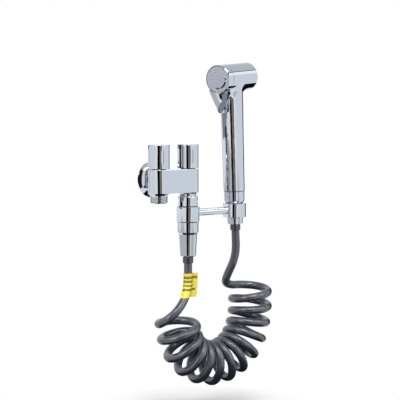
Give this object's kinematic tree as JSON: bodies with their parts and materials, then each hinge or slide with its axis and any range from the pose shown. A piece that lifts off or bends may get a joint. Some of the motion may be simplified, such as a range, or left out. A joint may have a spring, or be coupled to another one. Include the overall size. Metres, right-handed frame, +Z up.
{
  "type": "handheld_bidet_shower",
  "caption": "Wall-fixed chrome handheld bidet: angle valve with knobs and flange, clamped holder, coiled grey hose and a T-headed spray handset with a squeeze trigger.",
  "frame": {"origin": "on the axis of the inlet thread where the wall flange meets the wall", "axes": "+Y into the wall along the inlet thread, +X to the right for someone facing the wall, +Z up"},
  "size_m": [0.1913, 0.0863, 0.4136],
  "materials": {
    "polished_chrome": "mirror chrome plating over polished brass",
    "chromed_plastic": "bright chrome plating over moulded ABS",
    "turned_brass": "bare turned brass with fine tool marks",
    "alumina_ceramic": "ground and lapped white alumina",
    "black_rubber": "moulded black rubber, matt",
    "stainless_steel": "plain drawn stainless steel, satin",
    "hose_sheath": "extruded grey polyurethane, soft gloss",
    "yellow_tag": "printed yellow film, satin",
    "grey_disc_plastic": "moulded grey plastic with a fine matt texture",
    "inner_plastic": "natural moulded acetal, satin"
  },
  "bodies": {
    "fixed": {"valve_body": "polished_chrome", "wall_flange": "polished_chrome", "outlet_adapter": "polished_chrome", "clamp_ring": "polished_chrome", "holder_arm": "polished_chrome", "holder_ring": "polished_chrome", "hose_connector": "polished_chrome", "handset_shell": "chromed_plastic", "handle_collar": "chromed_plastic", "handset_nut": "chromed_plastic", "cistern_headwork": "turned_brass", "spray_headwork": "turned_brass", "stop_valve_body": "turned_brass", "connector_tail": "turned_brass", "handset_tail": "turned_brass", "cistern_fixed_disc": "alumina_ceramic", "spray_fixed_disc": "alumina_ceramic", "cistern_seat_seal": "black_rubber", "spray_seat_seal": "black_rubber", "outlet_washer": "black_rubber", "upper_ring_washer": "black_rubber", "lower_ring_washer": "black_rubber", "connector_washer": "black_rubber", "handset_washer": "black_rubber", "nozzle_seal": "black_rubber", "connector_ferrule": "stainless_steel", "handset_ferrule": "stainless_steel", "plunger_spring": "stainless_steel", "trigger_pin": "stainless_steel", "hose_valve_end": "hose_sheath", "hose_coil": "hose_sheath", "hose_handset_end": "hose_sheath", "hose_tag": "yellow_tag", "inlet_strainer": "inner_plastic", "water_tube": "inner_plastic", "gland_bush": "inner_plastic", "spray_chamber": "inner_plastic"},
    "cistern_knob_body": {"cistern_knob": "polished_chrome", "cistern_spindle": "turned_brass", "cistern_turning_disc": "alumina_ceramic", "cistern_spindle_seal": "black_rubber", "cistern_circlip": "stainless_steel", "cistern_grub_screw": "stainless_steel"},
    "spray_knob_body": {"spray_knob": "polished_chrome", "spray_spindle": "turned_brass", "spray_turning_disc": "alumina_ceramic", "spray_spindle_seal": "black_rubber", "spray_circlip": "stainless_steel", "spray_grub_screw": "stainless_steel"},
    "nozzle": {"bezel_ring": "chromed_plastic", "spray_disc": "grey_disc_plastic"},
    "trigger_lever": {"trigger": "chromed_plastic"},
    "plunger_body": {"plunger": "stainless_steel", "plunger_seal": "black_rubber"}
  },
  "joints": [
    {"name": "cistern_tap", "type": "hinge", "parent": "fixed", "child": "cistern_knob_body", "pos_m": [-0.0227, -0.043, 0.029], "axis": [0, 0, 1], "range_deg": [0, 90]},
    {"name": "spray_tap", "type": "hinge", "parent": "fixed", "child": "spray_knob_body", "pos_m": [0.0227, -0.043, 0.029], "axis": [0, 0, 1], "range_deg": [0, 90]},
    {"name": "nozzle_turn", "type": "hinge", "parent": "fixed", "child": "nozzle", "pos_m": [0.06239, -0.05364, 0.12588], "axis": [-0.9577, -0.2746, -0.0863], "range_deg": [0, 80]},
    {"name": "trigger_squeeze", "type": "hinge", "parent": "fixed", "child": "trigger_lever", "pos_m": [0.07497, -0.05003, 0.10582], "axis": [0.2756, -0.9613, 0], "range_deg": [0, 11], "stiffness_Nm_per_rad": 0.4, "springref_deg": -5.73},
    {"name": "plunger_slide", "type": "slide", "parent": "fixed", "child": "plunger_body", "axis": [0.9599, 0.2752, 0.0541], "range_m": [0, 0.0023], "deforming": ["plunger_spring"]}
  ],
  "couplings": [
    {"joint": "plunger_slide", "follows": "trigger_squeeze", "m_per_rad": 0.01148}
  ]
}
